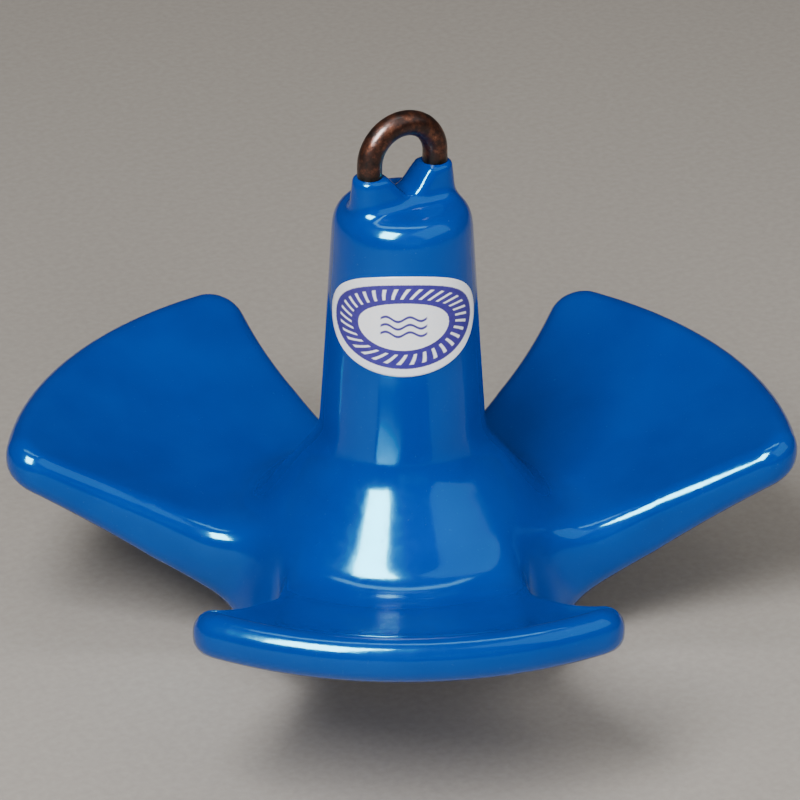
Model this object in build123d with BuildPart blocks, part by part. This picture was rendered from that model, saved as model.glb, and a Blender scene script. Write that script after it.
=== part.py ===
from build123d import *
from math import atan2, cos, pi, radians, sin, tan
import os

os.makedirs("parts", exist_ok=True)

# Coated river anchor: an iron casting with three blunt flukes round a domed hub, a steel
# lifting eye cast into the top of its shank, a dipped PVC skin and an oval label.
# Millimetres. Origin at the centre of the coated foot, +Z up the shank, one fluke along +X,
# the eye in the XZ plane.

# Skin
SKIN = 1.5              # dipped PVC, the same all over

# Hub and flukes, over the skin
FOOT_EDGE_R = 37.8      # where the flat foot would meet the underside cone
FOOT_BLEND = 22.0
UNDER_SLOPE = 31.6      # degrees, underside cone above the horizontal
FLUKE_TIP_R = 154.0
TIP_SLOPE = 30.5        # degrees, top surface at the tip
TIP_THICK = 19.1        # height of the flukes at the tip radius, before their edges are rounded
BOWL_ROOT_R = 62.0      # inner end of the flukes' top surface
BOWL_ROOT_Z = 50.6
FLUKE_EDGE = 7.4        # rounding of the flukes' edges
FULL_ROUND_GAP = 0.4    # what the upper rounding gives up to the lower one
FLUKE_CORNER = 13.0     # rounding of the flukes' corners, seen from above

# Gaps between the flukes
GAP_WALL_X = 72.0       # where the straight walls of a gap's root end
GAP_WALL_Y = 24.5
GAP_WALL_TURN = 45.0    # degrees from the gap's middle
GAP_ROOT_ARC = 12.0
GAP_CORNER_ANGLE = 26.7 # degrees from the gap's middle to a fluke's corner

# Skirt of the hub, which shows in the gaps
SKIRT_R = 71.0
SKIRT_Z = 23.5
SKIRT_TOP_R = 52.2      # where it comes out of the flare
SKIRT_TUCK = 0.4        # how far its top starts below the flare
SKIRT_LIP = 5.0

# Shank, over the skin
SHANK_TOP_Z = 189.5
SHANK_FLARE_R = 32.4
SHANK_FLARE_Z = 89.2
SHANK_TOP_R = 26.2
FLARE_BLEND = 26.0
ROOT_BLEND = 17.0
SHOULDER = 9.0

# Lifting eye
ROD_R = 4.7625          # 3/8 in steel rod
EYE_GAP = 19.05         # 3/4 in clear between the legs
EYE_HOOK_R = 8.5
EYE_DEPTH = 57.5        # from the shank's top down to the centre of the hooks' bends

# Collars round the legs, over the skin
COLLAR_HEIGHT = 13.0    # above the shank's top
COLLAR_WALL = 4.3       # coating and iron outside the rod, at the collars' base
COLLAR_TAPER = 6.5      # degrees
COLLAR_EDGE = 0.8
BEND_RISE = 4.1         # from the collars' top up to the start of the eye's bend
SADDLE_RISE = 2.0       # from the shank's top up to where the saddle's two slopes would meet
SADDLE_SLOPE = 52.0     # degrees below the horizontal
SADDLE_BLEND = 3.0
SADDLE_EDGE = 3.0       # rounding of the saddle's two long edges

# Label
LABEL_WIDTH = 68.0      # round the shank
LABEL_HEIGHT = 41.0
LABEL_DROP = 39.3       # from the shank's top down to the label's middle
LABEL_THICK = 0.3
LABEL_SIDE = 240.0      # degrees round from +X
LABEL_POINTS = 24

FLUKES = 3
GAP_TURN = 180.0 / FLUKES
EYE_BEND_R = EYE_GAP / 2 + ROD_R
COLLAR_TOP_Z = SHANK_TOP_Z + COLLAR_HEIGHT
COLLAR_BASE_R = ROD_R + COLLAR_WALL
EYE_BEND_Z = COLLAR_TOP_Z + BEND_RISE
EYE_HOOK_Z = SHANK_TOP_Z - EYE_DEPTH
SADDLE_Z = SHANK_TOP_Z + SADDLE_RISE
LABEL_Z = SHANK_TOP_Z - LABEL_DROP


def shank_radius(z):
    """Radius of the coated shank at a height above the flare."""
    t = (z - SHANK_FLARE_Z) / (SHANK_TOP_Z - SHANK_FLARE_Z)
    return SHANK_FLARE_R + t * (SHANK_TOP_R - SHANK_FLARE_R)


def flare_z(r):
    """Height of the coated flare at a radius."""
    t = (r - SHANK_FLARE_R) / (BOWL_ROOT_R - SHANK_FLARE_R)
    return SHANK_FLARE_Z + t * (BOWL_ROOT_Z - SHANK_FLARE_Z)


def under_z(r):
    """Height of the underside cone at a radius."""
    return (r - FOOT_EDGE_R) * tan(radians(UNDER_SLOPE))


def rounded_half(wire, blends, inset):
    """Face of a half profile with its corners blended, drawn in by inset and cut at the axis."""
    with BuildSketch() as half:
        make_face(wire)
        for x, z, radius in blends:
            near = half.vertices().sort_by(lambda v: abs(v.X - x) + abs(v.Y - z))[0]
            fillet(near, radius)
        if inset:
            offset(amount=-inset, kind=Kind.INTERSECTION)
        with Locations((FLUKE_TIP_R, 0)):
            Rectangle(2 * FLUKE_TIP_R, 4 * SHANK_TOP_Z, mode=Mode.INTERSECT)
    with BuildLine() as outline:
        for edge in half.edges():
            if edge.geom_type == GeomType.LINE:
                Line(edge @ 0, edge @ 1)
            else:
                ThreePointArc(edge @ 0, edge @ 0.5, edge @ 1)
    with BuildSketch(Plane.XZ) as section:
        make_face(outline.line)
    return section.sketch


def bowl_profile(inset):
    """Shank, flare and the full bowl that the flukes are cut from."""
    reach = FLUKE_TIP_R + 12
    tip_z = under_z(FLUKE_TIP_R) + TIP_THICK
    reach_z = tip_z + 12 * tan(radians(TIP_SLOPE))
    with BuildLine() as line:
        Polyline((-20, SHANK_TOP_Z), (-20, 0), (FOOT_EDGE_R, 0), (reach, under_z(reach)))
        Line((reach, under_z(reach)), (reach, reach_z))
        Line((reach, reach_z), (FLUKE_TIP_R, tip_z))
        TangentArc(
            (FLUKE_TIP_R, tip_z),
            (BOWL_ROOT_R, BOWL_ROOT_Z),
            tangent=(-cos(radians(TIP_SLOPE)), -sin(radians(TIP_SLOPE))),
        )
        Polyline(
            (BOWL_ROOT_R, BOWL_ROOT_Z),
            (SHANK_FLARE_R, SHANK_FLARE_Z),
            (SHANK_TOP_R, SHANK_TOP_Z),
            (-20, SHANK_TOP_Z),
        )
    blends = [
        (FOOT_EDGE_R, 0, FOOT_BLEND),
        (BOWL_ROOT_R, BOWL_ROOT_Z, ROOT_BLEND),
        (SHANK_FLARE_R, SHANK_FLARE_Z, FLARE_BLEND),
        (SHANK_TOP_R, SHANK_TOP_Z, SHOULDER),
    ]
    return rounded_half(line.line, blends, inset)


def skirt_profile(inset):
    """Skirt of the hub, which shows in the gaps."""
    top_z = flare_z(SKIRT_TOP_R) - SKIRT_TUCK
    with BuildLine() as line:
        Polyline(
            (-20, 0),
            (FOOT_EDGE_R, 0),
            (SKIRT_R, under_z(SKIRT_R)),
            (SKIRT_R, SKIRT_Z),
            (SKIRT_TOP_R, top_z),
            (-20, top_z),
            close=True,
        )
    blends = [
        (FOOT_EDGE_R, 0, FOOT_BLEND),
        (SKIRT_R, SKIRT_Z, SKIRT_LIP),
    ]
    return rounded_half(line.line, blends, inset)


def fluke_plan(inset):
    """Outline of the three flukes from above, drawn in by inset."""
    turn = radians(GAP_WALL_TURN)
    tip_x = FLUKE_TIP_R * cos(radians(GAP_CORNER_ANGLE))
    tip_y = FLUKE_TIP_R * sin(radians(GAP_CORNER_ANGLE))
    leave = 2 * atan2(tip_y - GAP_WALL_Y, tip_x - GAP_WALL_X) - turn
    wall_x = GAP_WALL_X - inset * sin(turn)
    wall_y = GAP_WALL_Y + inset * cos(turn)
    far_x = tip_x - inset * sin(leave)
    far_y = tip_y + inset * cos(leave)
    out_x = far_x + 30
    out_y = far_y + 30 * tan(leave)
    root_x = wall_x - wall_y / tan(turn)
    with BuildSketch() as opening:
        with BuildLine():
            Polyline((wall_x, wall_y), (root_x, 0), (wall_x, -wall_y))
            TangentArc((wall_x, wall_y), (far_x, far_y), tangent=(cos(turn), sin(turn)))
            TangentArc((wall_x, -wall_y), (far_x, -far_y), tangent=(cos(turn), -sin(turn)))
            Polyline((far_x, far_y), (out_x, out_y), (out_x, -out_y), (far_x, -far_y))
        make_face()
        fillet(opening.vertices().sort_by(Axis.X)[0], GAP_ROOT_ARC + inset)
    with BuildSketch() as plan:
        Circle(FLUKE_TIP_R - inset)
        with PolarLocations(0, FLUKES, start_angle=GAP_TURN):
            add(opening.sketch, mode=Mode.SUBTRACT)
        rim = plan.vertices().filter_by(lambda v: v.center().length > FLUKE_TIP_R - inset - 0.5)
        fillet(rim, FLUKE_CORNER - inset)
    return plan.sketch


def collars(inset):
    """The two collars up the legs of the eye, one tapered block with a saddle cut across it."""
    low_z = SHANK_TOP_Z - SHOULDER
    dip_z = SADDLE_Z - inset / cos(radians(SADDLE_SLOPE))
    half_width = COLLAR_HEIGHT / tan(radians(SADDLE_SLOPE))
    with BuildPart() as block:
        with BuildSketch(Plane.XY.offset(low_z)):
            SlotCenterToCenter(2 * EYE_BEND_R, 2 * (COLLAR_BASE_R - inset))
        extrude(amount=COLLAR_TOP_Z - inset - low_z, taper=COLLAR_TAPER)
        with BuildSketch(Plane.XZ) as saddle:
            with BuildLine():
                high_z = dip_z + COLLAR_HEIGHT
                Polyline((0, dip_z), (half_width, high_z), (-half_width, high_z), close=True)
            make_face()
            fillet(saddle.vertices().sort_by(Axis.Y)[0], SADDLE_BLEND + inset)
        extrude(amount=COLLAR_BASE_R, both=True, mode=Mode.SUBTRACT)
        sloping = block.edges().filter_by(lambda e: abs((e @ 0.5).X) < EYE_GAP / 2)
        sloping = sloping.filter_by(lambda e: abs((e @ 0.5).Y) > 1 and (e @ 0.5).Z > dip_z)
        fillet(sloping.filter_by(lambda e: (e @ 0.5).Z < COLLAR_TOP_Z - inset - 0.01), SADDLE_EDGE - inset)
        fillet(block.faces().group_by(Axis.Z)[-1].edges(), COLLAR_EDGE)
    return block.part


def above_cone(edge):
    """Height of an edge's middle above the underside cone."""
    middle = edge @ 0.5
    return middle.Z - under_z(Vector(middle.X, middle.Y).length)


def envelope(inset):
    """The anchor without its eye and label, drawn in by inset from the coated surface."""
    with BuildPart() as body:
        revolve(bowl_profile(inset), axis=Axis.Z)
        extrude(fluke_plan(inset), amount=SHANK_TOP_Z + 20, mode=Mode.INTERSECT)
        walls = body.faces().filter_by(lambda f: abs(f.normal_at(None).Z) < 0.001)
        rims = walls.edges().filter_by(lambda e: abs(e.tangent_at(0.5).Z) < 0.9)
        lower = rims.filter_by(lambda e: above_cone(e) < TIP_THICK / 2)
        fillet(lower, FLUKE_EDGE - inset)
        walls = body.faces().filter_by(lambda f: abs(f.normal_at(None).Z) < 0.001)
        rims = walls.edges().filter_by(lambda e: abs(e.tangent_at(0.5).Z) < 0.9)
        upper = rims.filter_by(lambda e: above_cone(e) > TIP_THICK * 0.75)
        fillet(upper, FLUKE_EDGE - FULL_ROUND_GAP - inset)
        revolve(skirt_profile(inset), axis=Axis.Z)
        add(collars(inset))
    return body.part



# Lifting eye: one bent steel rod, its legs hooked inwards inside the casting
with BuildPart() as lifting_eye:
    with BuildLine(Plane.XZ) as run:
        hook_in = EYE_BEND_R - EYE_HOOK_R
        CenterArc((-hook_in, EYE_HOOK_Z), EYE_HOOK_R, 270, -90)
        Line((-EYE_BEND_R, EYE_HOOK_Z), (-EYE_BEND_R, EYE_BEND_Z))
        CenterArc((0, EYE_BEND_Z), EYE_BEND_R, 180, -180)
        Line((EYE_BEND_R, EYE_BEND_Z), (EYE_BEND_R, EYE_HOOK_Z))
        CenterArc((hook_in, EYE_HOOK_Z), EYE_HOOK_R, 0, -90)
    with BuildSketch(Plane(origin=run.line @ 0, z_dir=run.line % 0)):
        Circle(ROD_R)
    sweep(path=run.line)
lifting_eye.part.label = "lifting_eye"
export_step(lifting_eye.part, "parts/lifting_eye.step")

# Iron casting: shank, domed hub and three flukes in one pour, cast round the eye's legs
with BuildPart() as iron_casting:
    add(envelope(SKIN))
    add(lifting_eye.part, mode=Mode.SUBTRACT)
iron_casting.part.label = "iron_casting"
export_step(iron_casting.part, "parts/iron_casting.step")

# Vinyl coating: dipped skin over the whole casting, under its foot and up its collars
with BuildPart() as vinyl_coating:
    add(envelope(0))
    add(envelope(SKIN), mode=Mode.SUBTRACT)
    add(lifting_eye.part, mode=Mode.SUBTRACT)
vinyl_coating.part.label = "vinyl_coating"
export_step(vinyl_coating.part, "parts/vinyl_coating.step")

# Label: thin oval film wrapped on the shank
with BuildPart() as label:
    label_r = shank_radius(LABEL_Z)
    half_turn = LABEL_WIDTH / 2 / label_r
    with BuildSketch(Plane.XZ) as band:
        with BuildLine():
            low_z = LABEL_Z - LABEL_HEIGHT / 2 - 2
            high_z = LABEL_Z + LABEL_HEIGHT / 2 + 2
            Polyline(
                (shank_radius(low_z), low_z),
                (shank_radius(low_z) + LABEL_THICK, low_z),
                (shank_radius(high_z) + LABEL_THICK, high_z),
                (shank_radius(high_z), high_z),
                close=True,
            )
        make_face()
    revolve(axis=Axis.Z)
    facing = Plane.XZ.rotated((0, 0, LABEL_SIDE + 90))
    with BuildSketch(facing) as oval:
        with BuildLine():
            outline = []
            for step in range(LABEL_POINTS):
                turn = 2 * pi * step / LABEL_POINTS
                across = label_r * sin(half_turn * cos(turn))
                outline.append((across, LABEL_Z + LABEL_HEIGHT / 2 * sin(turn)))
            Spline(*outline, periodic=True)
        make_face()
    extrude(amount=SHANK_FLARE_R + 10, mode=Mode.INTERSECT)
label.part.label = "label"
export_step(label.part, "parts/label.step")
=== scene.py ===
import bpy
import bmesh
import math
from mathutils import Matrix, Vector


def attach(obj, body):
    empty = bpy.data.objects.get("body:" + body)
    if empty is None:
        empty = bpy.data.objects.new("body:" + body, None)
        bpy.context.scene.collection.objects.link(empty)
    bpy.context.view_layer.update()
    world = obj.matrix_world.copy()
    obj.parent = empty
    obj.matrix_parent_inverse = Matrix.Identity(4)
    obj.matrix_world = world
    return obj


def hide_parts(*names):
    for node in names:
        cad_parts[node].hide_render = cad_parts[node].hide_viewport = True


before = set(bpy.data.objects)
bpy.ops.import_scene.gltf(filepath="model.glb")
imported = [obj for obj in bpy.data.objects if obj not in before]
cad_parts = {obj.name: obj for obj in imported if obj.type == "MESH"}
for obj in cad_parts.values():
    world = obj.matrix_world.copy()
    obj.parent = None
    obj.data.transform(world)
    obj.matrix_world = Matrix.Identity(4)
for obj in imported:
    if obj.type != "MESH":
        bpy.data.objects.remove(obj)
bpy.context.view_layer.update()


# ---------------------------------------------------------------------------------------------
# vinyl_coating
# Dipped PVC plastisol skin over the whole casting, about 1.5 mm thick. The dip pools in the
# corners and draws thin on the edges, so every edge is soft and the hub runs into the flukes.
# ---------------------------------------------------------------------------------------------
cad_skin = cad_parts["vinyl_coating"]

coating = cad_skin.copy()
coating.data = cad_skin.data.copy()
coating.name = "coating_dip"
coating.data.name = "coating_dip"
coating.data.materials.clear()
bpy.context.scene.collection.objects.link(coating)


def only(obj):
    """Leaves one object selected and active."""
    bpy.ops.object.select_all(action="DESELECT")
    obj.select_set(True)
    bpy.context.view_layer.objects.active = obj


# The skin's inner wall meets its outside only round the two holes for the eye's legs: spreading
# over the faces from the foot and stopping at those two rings leaves the outside alone, and
# capping the rings makes it one closed solid.
LEG_X = 0.0142875
HOLE_R = 0.0047625
COLLAR_TOP = 0.2025
RING_SLACK = 0.0002
shell = bmesh.new()
shell.from_mesh(coating.data)
bmesh.ops.remove_doubles(shell, verts=shell.verts[:], dist=0.00001)
ring = set()
for vertex in shell.verts:
    off_leg = math.hypot(abs(vertex.co.x) - LEG_X, vertex.co.y)
    if vertex.co.z > COLLAR_TOP - RING_SLACK and abs(off_leg - HOLE_R) < RING_SLACK:
        ring.add(vertex)
foot = min(shell.faces, key=lambda f: f.calc_center_median().z)
outside = {foot}
front = [foot]
while front:
    face = front.pop()
    for edge in face.edges:
        if edge.verts[0] in ring and edge.verts[1] in ring:
            continue
        for other in edge.link_faces:
            if other not in outside:
                outside.add(other)
                front.append(other)
inner = [face for face in shell.faces if face not in outside]
bmesh.ops.delete(shell, geom=inner, context="FACES")
bmesh.ops.holes_fill(shell, edges=shell.edges[:], sides=400)
bmesh.ops.recalc_face_normals(shell, faces=shell.faces[:])
shell.to_mesh(coating.data)
shell.free()

# One even skin of 1.53 mm squares, then smoothed a little all over, a lot in the three gaps, where
# the dip pools, and somewhat round the shoulder of the shank.
SQUARE = 0.00153
GAP_PITCH = 120.0
GAP_MIDDLE = 60.0
POOL_TURN = (46.0, 30.0)
POOL_INNER = (0.040, 0.052)
POOL_OUTER = (0.098, 0.076)
SHOULDER_LOW = (0.172, 0.180)
SHOULDER_HIGH = (0.196, 0.190)
SHOULDER_SHARE = 0.16


def fade(value, ends):
    """0 at the first end, 1 at the second, straight between them and level outside."""
    return min(max((value - ends[0]) / (ends[1] - ends[0]), 0.0), 1.0)


only(coating)
coating.data.remesh_voxel_size = SQUARE
coating.data.remesh_voxel_adaptivity = 0.0
bpy.ops.object.voxel_remesh()
pooled = coating.vertex_groups.new(name="pooled")
for vertex in coating.data.vertices:
    x, y, z = vertex.co
    radius = math.hypot(x, y)
    off_gap = abs(math.degrees(math.atan2(y, x)) % GAP_PITCH - GAP_MIDDLE)
    gap = fade(off_gap, POOL_TURN) * fade(radius, POOL_INNER) * fade(radius, POOL_OUTER)
    shoulder = fade(z, SHOULDER_LOW) * fade(z, SHOULDER_HIGH) * SHOULDER_SHARE
    pooled.add([vertex.index], max(gap, shoulder), "REPLACE")
for name, factor, rounds, group in (
    ("even", 0.5, 4, ""),
    ("pool", 0.9, 66, "pooled"),
    ("last", 0.5, 3, ""),
):
    smooth = coating.modifiers.new(name, "SMOOTH")
    smooth.factor = factor
    smooth.iterations = rounds
    smooth.vertex_group = group
    bpy.ops.object.modifier_apply(modifier=name)
coating.vertex_groups.clear()
bpy.ops.object.shade_smooth()


def linear(code):
    """sRGB hex code as linear RGBA."""
    out = []
    for i in (1, 3, 5):
        c = int(code[i:i + 2], 16) / 255
        out.append(c / 12.92 if c <= 0.04045 else ((c + 0.055) / 1.055) ** 2.4)
    return (*out, 1.0)


def add_node(tree, kind, settings=None, links=None, **values):
    """Adds one shader node: settings are its properties, values its sockets, links its inputs."""
    made = tree.nodes.new(kind)
    for key, value in (settings or {}).items():
        setattr(made, key, value)
    for key, value in values.items():
        made.inputs[key.replace("_", " ")].default_value = value
    for key, value in (links or {}).items():
        tree.links.new(value, made.inputs[key])
    return made


def ramp(tree, source, stops):
    """Colour ramp through the stops, each a place and a linear colour."""
    made = add_node(tree, "ShaderNodeValToRGB", links={"Fac": source})
    band = made.color_ramp
    while len(band.elements) > 1:
        band.elements.remove(band.elements[-1])
    band.elements[0].position, band.elements[0].color = stops[0]
    for place, colour in stops[1:]:
        band.elements.new(place).color = colour
    return made.outputs["Color"]


# Glossy royal-blue dipped PVC (plastisol): deep even colour with a faint flow mottle, a soft
# orange peel over slow runs from the dip, a few pinholes and scuffs, and a clear wet-looking top.
# Its blue specular tint is for the look alone, because PVC reflects white.
vinyl = bpy.data.materials.new("dipped_pvc_vinyl")
vinyl.use_nodes = True
tree = vinyl.node_tree
tree.nodes.clear()
place = add_node(tree, "ShaderNodeTexCoord").outputs["Object"]
cloud = add_node(
    tree, "ShaderNodeTexNoise", links={"Vector": place}, Scale=28.0, Detail=3.0, Roughness=0.5,
)
body_colour = ramp(tree, cloud.outputs["Fac"], [
    (0.30, linear("#00338C")),
    (0.50, linear("#003792")),
    (0.72, linear("#003C98")),
])
dust = add_node(
    tree, "ShaderNodeTexNoise", links={"Vector": place}, Scale=900.0, Detail=2.0, Roughness=0.6,
)
dust_mask = add_node(
    tree, "ShaderNodeMapRange", {"interpolation_type": "SMOOTHSTEP"},
    {"Value": dust.outputs["Fac"]},
    From_Min=0.66, From_Max=0.80, To_Min=0.0, To_Max=0.10,
)
tint = add_node(tree, "ShaderNodeMix", {"data_type": "RGBA"}, {"Factor": dust_mask.outputs["Result"]})
tree.links.new(body_colour, tint.inputs[6])
tint.inputs[7].default_value = linear("#8FB4DC")
scuff = add_node(
    tree, "ShaderNodeTexNoise", links={"Vector": place},
    Scale=120.0, Detail=6.0, Roughness=0.65, Distortion=1.5,
)
gloss = add_node(
    tree, "ShaderNodeMapRange", {}, {"Value": scuff.outputs["Fac"]},
    From_Min=0.3, From_Max=0.75, To_Min=0.10, To_Max=0.19,
)
runs = add_node(
    tree, "ShaderNodeTexNoise", links={"Vector": place}, Scale=34.0, Detail=1.0, Roughness=0.4,
)
peel = add_node(
    tree, "ShaderNodeTexNoise", links={"Vector": place}, Scale=420.0, Detail=1.0, Roughness=0.4,
)
pores = add_node(tree, "ShaderNodeTexVoronoi", {"feature": "F1"}, {"Vector": place}, Scale=95.0)
pinhole = add_node(
    tree, "ShaderNodeMapRange", {"interpolation_type": "SMOOTHSTEP"},
    {"Value": pores.outputs["Distance"]},
    From_Min=0.02, From_Max=0.06, To_Min=0.0, To_Max=1.0,
)
bump_runs = add_node(
    tree, "ShaderNodeBump", links={"Height": runs.outputs["Fac"]}, Strength=0.18, Distance=0.0010,
)
bump_peel = add_node(
    tree, "ShaderNodeBump",
    links={"Height": peel.outputs["Fac"], "Normal": bump_runs.outputs["Normal"]},
    Strength=0.25, Distance=0.00006,
)
bump_pores = add_node(
    tree, "ShaderNodeBump",
    links={"Height": pinhole.outputs["Result"], "Normal": bump_peel.outputs["Normal"]},
    Strength=0.3, Distance=0.0001,
)
shader = add_node(tree, "ShaderNodeBsdfPrincipled", links={
    "Base Color": tint.outputs[2],
    "Roughness": gloss.outputs["Result"],
    "Normal": bump_pores.outputs["Normal"],
}, IOR=1.53)
shader.inputs["Specular IOR Level"].default_value = 0.7
shader.inputs["Specular Tint"].default_value = (0.04, 0.74, 1.0, 1.0)
shader.inputs["Coat Weight"].default_value = 0.12
shader.inputs["Coat Roughness"].default_value = 0.05
shader.inputs["Coat IOR"].default_value = 1.5
add_node(tree, "ShaderNodeOutputMaterial", links={"Surface": shader.outputs["BSDF"]})
coating.data.materials.append(vinyl)
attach(coating, "root")
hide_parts("vinyl_coating")


# ---------------------------------------------------------------------------------------------
# lifting_eye
# 3/8 in (9.5 mm) steel rod bent hot round a 3/4 in former, its legs hooked inside the iron. It
# stays bare above the coating: dark brown scale with worn, warmer bright spots.
# ---------------------------------------------------------------------------------------------
ROD = 0.0047625
LEG = 0.0142875
BEND_Z = 0.2066
HOOK = 0.0085
HOOK_Z = 0.132
ROD_SIDES = 40
HOOK_STEPS = 10
LEG_STEPS = 40
BEND_STEPS = 48
LEG_RISE = (BEND_Z - HOOK_Z) / LEG_STEPS
SPIN_AXIS = (0, -1, 0)
bpy.ops.object.select_all(action="DESELECT")
bpy.ops.mesh.primitive_circle_add(
    vertices=ROD_SIDES, radius=ROD, fill_type="NGON",
    location=(-(LEG - HOOK), 0, HOOK_Z - HOOK), rotation=(0, math.radians(90), 0),
)
eye = bpy.context.object
eye.name = "eye_rod"
eye.data.name = "eye_rod"
bpy.ops.object.transform_apply(location=True, rotation=True, scale=True)
bpy.ops.object.mode_set(mode="EDIT")
bpy.ops.mesh.select_all(action="SELECT")
QUARTER = math.radians(90)
bpy.ops.mesh.spin(
    steps=HOOK_STEPS, angle=QUARTER, center=(-(LEG - HOOK), 0, HOOK_Z), axis=SPIN_AXIS,
)
for _ in range(LEG_STEPS):
    bpy.ops.mesh.extrude_region_move(TRANSFORM_OT_translate={"value": (0, 0, LEG_RISE)})
bpy.ops.mesh.spin(steps=BEND_STEPS, angle=2 * QUARTER, center=(0, 0, BEND_Z), axis=SPIN_AXIS)
for _ in range(LEG_STEPS):
    bpy.ops.mesh.extrude_region_move(TRANSFORM_OT_translate={"value": (0, 0, -LEG_RISE)})
bpy.ops.mesh.spin(
    steps=HOOK_STEPS, angle=QUARTER, center=(LEG - HOOK, 0, HOOK_Z), axis=SPIN_AXIS,
)
bpy.ops.mesh.select_all(action="SELECT")
bpy.ops.mesh.remove_doubles(threshold=0.00001)
bpy.ops.mesh.normals_make_consistent(inside=False)
bpy.ops.object.mode_set(mode="OBJECT")
bpy.ops.object.shade_smooth()

# Hot-bent mild steel under dark brown mill scale: blotchy brown-black oxide, rubbed coppery
# spots, a hammered unevenness and fine scale grain, so its highlights break up, and painted shade
# that turns it black at its roots, where it goes into the coating.
steel = bpy.data.materials.new("hot_bent_mild_steel_scaled")
steel.use_nodes = True
tree = steel.node_tree
tree.nodes.clear()
place = add_node(tree, "ShaderNodeTexCoord").outputs["Object"]
blotch = add_node(
    tree, "ShaderNodeTexNoise", links={"Vector": place}, Scale=260.0, Detail=6.0, Roughness=0.6,
)
oxide = ramp(tree, blotch.outputs["Fac"], [
    (0.34, linear("#140B08")),
    (0.50, linear("#351D15")),
    (0.62, linear("#6B4433")),
    (0.76, linear("#B78670")),
])
# Painted shade: the rod darkens to black at its roots, just above the collar tops, where it enters
# the coating.
height = add_node(tree, "ShaderNodeSeparateXYZ", links={"Vector": place})
root = add_node(
    tree, "ShaderNodeMapRange", {"interpolation_type": "SMOOTHSTEP"},
    {"Value": height.outputs["Z"]},
    From_Min=0.2035, From_Max=0.2060, To_Min=0.0, To_Max=1.0,
)
painted_root_shade = add_node(tree, "ShaderNodeMix", {"data_type": "RGBA"}, {"Factor": root.outputs["Result"]})
painted_root_shade.inputs[6].default_value = linear("#0A0808")
tree.links.new(oxide, painted_root_shade.inputs[7])
grain = add_node(
    tree, "ShaderNodeTexNoise", links={"Vector": place}, Scale=1500.0, Detail=4.0, Roughness=0.7,
)
dents = add_node(
    tree, "ShaderNodeTexNoise", links={"Vector": place}, Scale=190.0, Detail=2.0, Roughness=0.5,
)
wear = add_node(
    tree, "ShaderNodeMapRange", {}, {"Value": blotch.outputs["Fac"]},
    From_Min=0.35, From_Max=0.75, To_Min=0.40, To_Max=0.28,
)
bare = add_node(
    tree, "ShaderNodeMapRange", {"interpolation_type": "SMOOTHSTEP"},
    {"Value": blotch.outputs["Fac"]},
    From_Min=0.48, From_Max=0.68, To_Min=0.6, To_Max=1.0,
)
bump_dents = add_node(
    tree, "ShaderNodeBump", links={"Height": dents.outputs["Fac"]}, Strength=0.6, Distance=0.0007,
)
bump_grain = add_node(
    tree, "ShaderNodeBump",
    links={"Height": grain.outputs["Fac"], "Normal": bump_dents.outputs["Normal"]},
    Strength=0.5, Distance=0.00012,
)
shader = add_node(tree, "ShaderNodeBsdfPrincipled", links={
    "Base Color": painted_root_shade.outputs[2],
    "Metallic": bare.outputs["Result"],
    "Roughness": wear.outputs["Result"],
    "Normal": bump_grain.outputs["Normal"],
})
shader.inputs["Coat Weight"].default_value = 0.3
shader.inputs["Coat Roughness"].default_value = 0.18
shader.inputs["Coat Tint"].default_value = linear("#FFE6DA")
add_node(tree, "ShaderNodeOutputMaterial", links={"Surface": shader.outputs["BSDF"]})
eye.data.materials.append(steel)
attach(eye, "root")
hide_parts("lifting_eye")


# ---------------------------------------------------------------------------------------------
# iron_casting
# Grey iron, sand cast in one pour and dipped as it came from the sand. None of it shows.
# ---------------------------------------------------------------------------------------------
# Sand-cast grey iron: dark grey skin with the sand's grain and rusty freckles.
iron = bpy.data.materials.new("sand_cast_grey_iron")
iron.use_nodes = True
tree = iron.node_tree
tree.nodes.clear()
place = add_node(tree, "ShaderNodeTexCoord").outputs["Object"]
sand = add_node(
    tree, "ShaderNodeTexNoise", links={"Vector": place}, Scale=1100.0, Detail=5.0, Roughness=0.7,
)
freckle = add_node(
    tree, "ShaderNodeTexNoise", links={"Vector": place}, Scale=160.0, Detail=5.0, Roughness=0.6,
)
crust = ramp(tree, freckle.outputs["Fac"], [
    (0.35, linear("#3A3B3C")),
    (0.58, linear("#4A4A49")),
    (0.72, linear("#6A4B38")),
])
rough = add_node(
    tree, "ShaderNodeMapRange", {}, {"Value": sand.outputs["Fac"]},
    From_Min=0.3, From_Max=0.7, To_Min=0.55, To_Max=0.85,
)
bump_sand = add_node(
    tree, "ShaderNodeBump", links={"Height": sand.outputs["Fac"]}, Strength=0.7, Distance=0.0003,
)
shader = add_node(tree, "ShaderNodeBsdfPrincipled", links={
    "Base Color": crust,
    "Roughness": rough.outputs["Result"],
    "Normal": bump_sand.outputs["Normal"],
})
shader.inputs["Metallic"].default_value = 0.7
add_node(tree, "ShaderNodeOutputMaterial", links={"Surface": shader.outputs["BSDF"]})
cad_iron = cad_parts["iron_casting"]
cad_iron.data.materials.clear()
cad_iron.data.materials.append(iron)


# ---------------------------------------------------------------------------------------------
# label
# Oval printed vinyl film, 68 by 41 mm, wrapped round the front of the shank.
# Its print is a plain one: white edge, violet-blue band with a laid-rope ring, and waves inside.
# ---------------------------------------------------------------------------------------------
LABEL_W = 0.068
LABEL_H = 0.041
LABEL_Z = 0.1502
LABEL_SIDE = math.radians(240.0)
FILM = 0.00028
FILM_GAP = 0.00002
FLARE_Z = 0.0892
FLARE_R = 0.0324
TOP_Z = 0.1895
TOP_R = 0.0262


def shank_radius(z):
    """Radius of the coated shank at a height."""
    return FLARE_R + (z - FLARE_Z) / (TOP_Z - FLARE_Z) * (TOP_R - FLARE_R)


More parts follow.
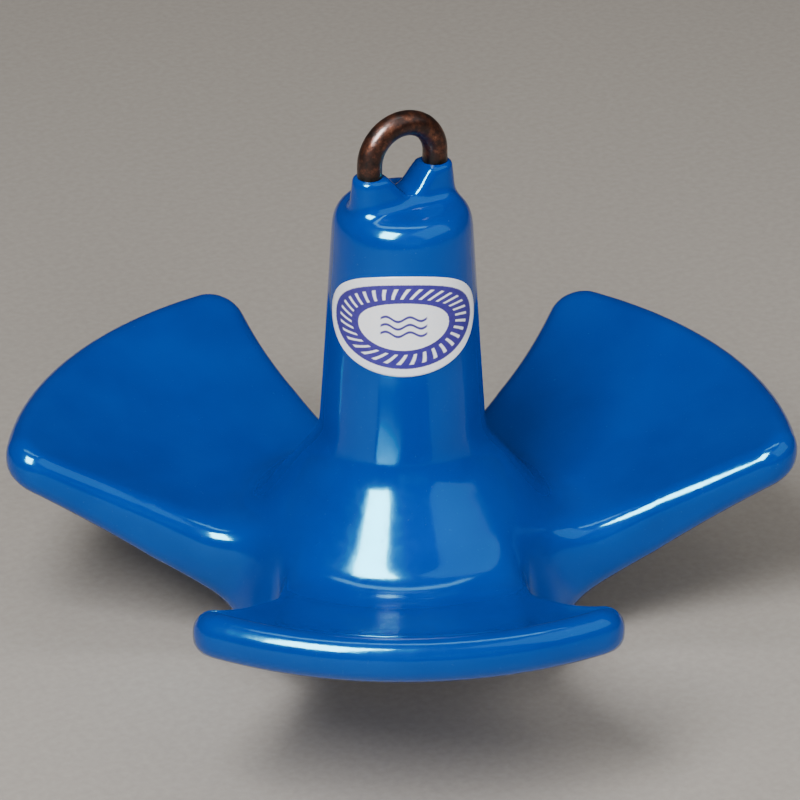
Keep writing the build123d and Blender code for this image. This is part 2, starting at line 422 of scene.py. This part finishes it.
bpy.ops.object.select_all(action="DESELECT")
bpy.ops.mesh.primitive_grid_add(x_subdivisions=72, y_subdivisions=56, size=2.0, location=(0, 0, 0))
film = bpy.context.object
film.name = "label_film"
film.data.name = "label_film"
print_map = film.data.uv_layers[0]
print_map.name = "print"
disc = []
for vertex in film.data.vertices:
    u, v = vertex.co.x, vertex.co.y
    disc.append((u * math.sqrt(1 - v * v / 2), v * math.sqrt(1 - u * u / 2)))
for loop in film.data.loops:
    print_map.data[loop.index].uv = disc[loop.vertex_index]
for vertex in film.data.vertices:
    u, v = disc[vertex.index]
    z = LABEL_Z + v * LABEL_H / 2
    angle = LABEL_SIDE + u * LABEL_W / 2 / shank_radius(LABEL_Z)
    reach = shank_radius(z) + FILM_GAP
    vertex.co = (reach * math.cos(angle), reach * math.sin(angle), z)
only(film)
thick = film.modifiers.new("thick", "SOLIDIFY")
thick.thickness = FILM
thick.offset = 1.0
bpy.ops.object.modifier_apply(modifier="thick")
bpy.ops.object.shade_smooth()

# Screen-printed white vinyl film: violet-blue ink with slightly uneven cover and soft edges,
# satin print surface, faint paper-white mottle.
printed = bpy.data.materials.new("screen_printed_vinyl_film")
printed.use_nodes = True
tree = printed.node_tree
tree.nodes.clear()
art = add_node(tree, "ShaderNodeUVMap", {"uv_map": "print"}).outputs["UV"]
place = add_node(tree, "ShaderNodeTexCoord").outputs["Object"]
axes = add_node(tree, "ShaderNodeSeparateXYZ", links={"Vector": art})
along, up = axes.outputs["X"], axes.outputs["Y"]


def calc(operation, a, b=None):
    """One Math node on sockets or numbers."""
    made = add_node(tree, "ShaderNodeMath", {"operation": operation})
    for i, value in enumerate(v for v in (a, b) if v is not None):
        if isinstance(value, (int, float)):
            made.inputs[i].default_value = value
        else:
            tree.links.new(value, made.inputs[i])
    return made.outputs[0]


INK_SOFT = 0.012
LINE_SOFT = 0.06


def step(value, edge, soft=INK_SOFT):
    """1 above the edge, 0 below it, with an ink-soft edge."""
    made = add_node(
        tree, "ShaderNodeMapRange", {"interpolation_type": "SMOOTHSTEP"}, {"Value": value},
    )
    made.inputs["From Min"].default_value = edge - soft
    made.inputs["From Max"].default_value = edge + soft
    return made.outputs["Result"]


wobble = add_node(tree, "ShaderNodeTexNoise", links={"Vector": place}, Scale=1800.0, Detail=2.0)
jitter = calc("MULTIPLY", calc("SUBTRACT", wobble.outputs["Fac"], 0.5), 0.02)


def oval(half_x, half_y):
    """1 on an oval of these half-widths in the print, less inside it, more outside."""
    x, y = calc("DIVIDE", along, half_x), calc("DIVIDE", up, half_y)
    reach = calc("SQRT", calc("ADD", calc("MULTIPLY", x, x), calc("MULTIPLY", y, y)))
    return calc("ADD", reach, jitter)


def below(value, edge, soft=INK_SOFT):
    """1 below the edge, 0 above it."""
    return calc("SUBTRACT", 1.0, step(value, edge, soft))


BAND_OUT = (0.895, 0.84)
BAND_IN = (0.53, 0.47)
ROPE_IN = 1.18
ROPE_OUT = 0.90
STRANDS = 34.0
STRAND_LEAN = 3.2
STRAND_HALF = 0.17
WAVE_TURN = 24.0
WAVE_RISE = 0.045
WAVE_PITCH = 0.15
WAVE_START = 10.5
WAVE_LINE_HALF = 0.17
WAVES_HALF_HEIGHT = 0.225
WAVES_HALF_WIDTH = 0.26
disc_r = oval(1.0, 1.0)
edge_r = oval(*BAND_OUT)
inner_r = oval(*BAND_IN)
band = calc("MULTIPLY", below(edge_r, 1.0), step(inner_r, 1.0))
turn = calc("DIVIDE", calc("ARCTAN2", up, along), 2 * math.pi)
lay = calc("ADD", calc("MULTIPLY", turn, STRANDS), calc("MULTIPLY", disc_r, STRAND_LEAN))
off_strand = calc("ABSOLUTE", calc("SUBTRACT", calc("FRACT", lay), 0.5))
rope = calc("MULTIPLY", step(inner_r, ROPE_IN), below(edge_r, ROPE_OUT))
rope = calc("MULTIPLY", rope, below(off_strand, STRAND_HALF, LINE_SOFT))
swell = calc("MULTIPLY", calc("SINE", calc("MULTIPLY", along, WAVE_TURN)), WAVE_RISE)
ripple = calc("SUBTRACT", up, swell)
row = calc("FRACT", calc("ADD", calc("DIVIDE", ripple, WAVE_PITCH), WAVE_START))
line = below(calc("ABSOLUTE", calc("SUBTRACT", row, 0.5)), WAVE_LINE_HALF, LINE_SOFT)
line = calc("MULTIPLY", line, below(calc("ABSOLUTE", ripple), WAVES_HALF_HEIGHT))
line = calc("MULTIPLY", line, below(calc("ABSOLUTE", along), WAVES_HALF_WIDTH))
ink = calc("MAXIMUM", calc("MULTIPLY", band, calc("SUBTRACT", 1.0, rope)), line)
cover = add_node(tree, "ShaderNodeTexNoise", links={"Vector": place}, Scale=700.0, Detail=3.0)
ink_colour = ramp(tree, cover.outputs["Fac"], [(0.3, linear("#33287F")), (0.7, linear("#3D3192"))])
paper_colour = ramp(tree, cover.outputs["Fac"], [(0.3, linear("#F8FAFF")), (0.7, linear("#FFFFFF"))])
art_mix = add_node(tree, "ShaderNodeMix", {"data_type": "RGBA"}, {"Factor": ink})
tree.links.new(paper_colour, art_mix.inputs[6])
tree.links.new(ink_colour, art_mix.inputs[7])
satin = add_node(
    tree, "ShaderNodeMapRange", {}, {"Value": cover.outputs["Fac"]},
    From_Min=0.3, From_Max=0.7, To_Min=0.30, To_Max=0.42,
)
bump_ink = add_node(
    tree, "ShaderNodeBump", links={"Height": ink}, Strength=0.3, Distance=0.00002,
)
shader = add_node(tree, "ShaderNodeBsdfPrincipled", links={
    "Base Color": art_mix.outputs[2],
    "Roughness": satin.outputs["Result"],
    "Normal": bump_ink.outputs["Normal"],
})
add_node(tree, "ShaderNodeOutputMaterial", links={"Surface": shader.outputs["BSDF"]})
film.data.materials.append(printed)
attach(film, "root")
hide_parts("label")


# ---------------------------------------------------------------------------------------------
# Floor, lights and camera
# ---------------------------------------------------------------------------------------------
bpy.ops.object.select_all(action="DESELECT")
bpy.ops.mesh.primitive_plane_add(size=12.0, location=(0, 0, 0))
floor = bpy.context.object
floor.name = "floor"
paper = bpy.data.materials.new("pale_backdrop_paper")
paper.use_nodes = True
tree = paper.node_tree
tree.nodes.clear()
place = add_node(tree, "ShaderNodeTexCoord").outputs["Object"]
fibre = add_node(tree, "ShaderNodeTexNoise", links={"Vector": place}, Scale=300.0, Detail=4.0)
sheet = ramp(tree, fibre.outputs["Fac"], [(0.3, linear("#968F86")), (0.7, linear("#9F988F"))])
shader = add_node(tree, "ShaderNodeBsdfPrincipled", links={"Base Color": sheet})
shader.inputs["Roughness"].default_value = 0.75
add_node(tree, "ShaderNodeOutputMaterial", links={"Surface": shader.outputs["BSDF"]})
floor.data.materials.append(paper)

view_turn = math.radians(238.9)
view_lift = math.radians(28.52)
view_reach = 1.808
aim = Vector((0, 0, 0.1035))
out = Vector((math.cos(view_turn), math.sin(view_turn), 0))
side = Vector((-math.sin(view_turn), math.cos(view_turn), 0))
eye_dir = Vector((math.cos(view_lift) * out.x, math.cos(view_lift) * out.y, math.sin(view_lift)))

lens = bpy.data.cameras.new("camera")
lens.sensor_width = 36.0
lens.lens = 211.3
lens.shift_x = -0.003
camera = bpy.data.objects.new("camera", lens)
camera.location = aim + eye_dir * view_reach
camera.rotation_euler = (-eye_dir).to_track_quat("-Z", "Y").to_euler()
bpy.context.scene.collection.objects.link(camera)
bpy.context.scene.camera = camera


LAMP_AIM = (0, 0, 0.08)
STRIP_AIM = (0, 0, 0.05)


def softbox(name, place, target, width, height, power, mirrored=True, lights=True):
    """Rectangular soft light aimed at a point; it may go without its reflection or its light."""
    lamp = bpy.data.lights.new(name, "AREA")
    lamp.shape = "RECTANGLE"
    lamp.size = width
    lamp.size_y = height
    lamp.energy = power
    body = bpy.data.objects.new(name, lamp)
    body.visible_glossy = mirrored
    body.visible_diffuse = lights
    body.location = place
    body.rotation_euler = (Vector(target) - Vector(place)).to_track_quat("-Z", "Y").to_euler()
    bpy.context.scene.collection.objects.link(body)


def around(turn, lift, reach):
    """Place at an angle right of the camera, a height angle and a distance from the shank."""
    turn, lift = math.radians(turn), math.radians(lift)
    flat = out * math.cos(turn) + side * math.sin(turn)
    return flat * reach * math.cos(lift) + Vector((0, 0, reach * math.sin(lift) + LAMP_AIM[2]))


# key_glint is seen in reflections alone and front_fill has none, so that the highlights stay bright
# and clean over an evenly lit body.
softbox("key", around(-29, 52, 1.8), LAMP_AIM, 0.62, 1.0, 36.0)
softbox("key_glint", around(-29, 52, 1.79), LAMP_AIM, 0.62, 1.0, 170.0, lights=False)
softbox("panel_right", around(66, 48, 1.5), LAMP_AIM, 1.3, 1.1, 6.0)
softbox("front_fill", around(14, 20, 2.4), LAMP_AIM, 1.4, 0.8, 32.0, mirrored=False)
softbox("top_strip", around(180, 84, 1.6), STRIP_AIM, 1.1, 0.22, 4.0)

world = bpy.data.worlds.new("studio")
world.use_nodes = True
world.node_tree.nodes["Background"].inputs["Color"].default_value = linear("#8C8A88")
world.node_tree.nodes["Background"].inputs["Strength"].default_value = 0.20
bpy.context.scene.world = world
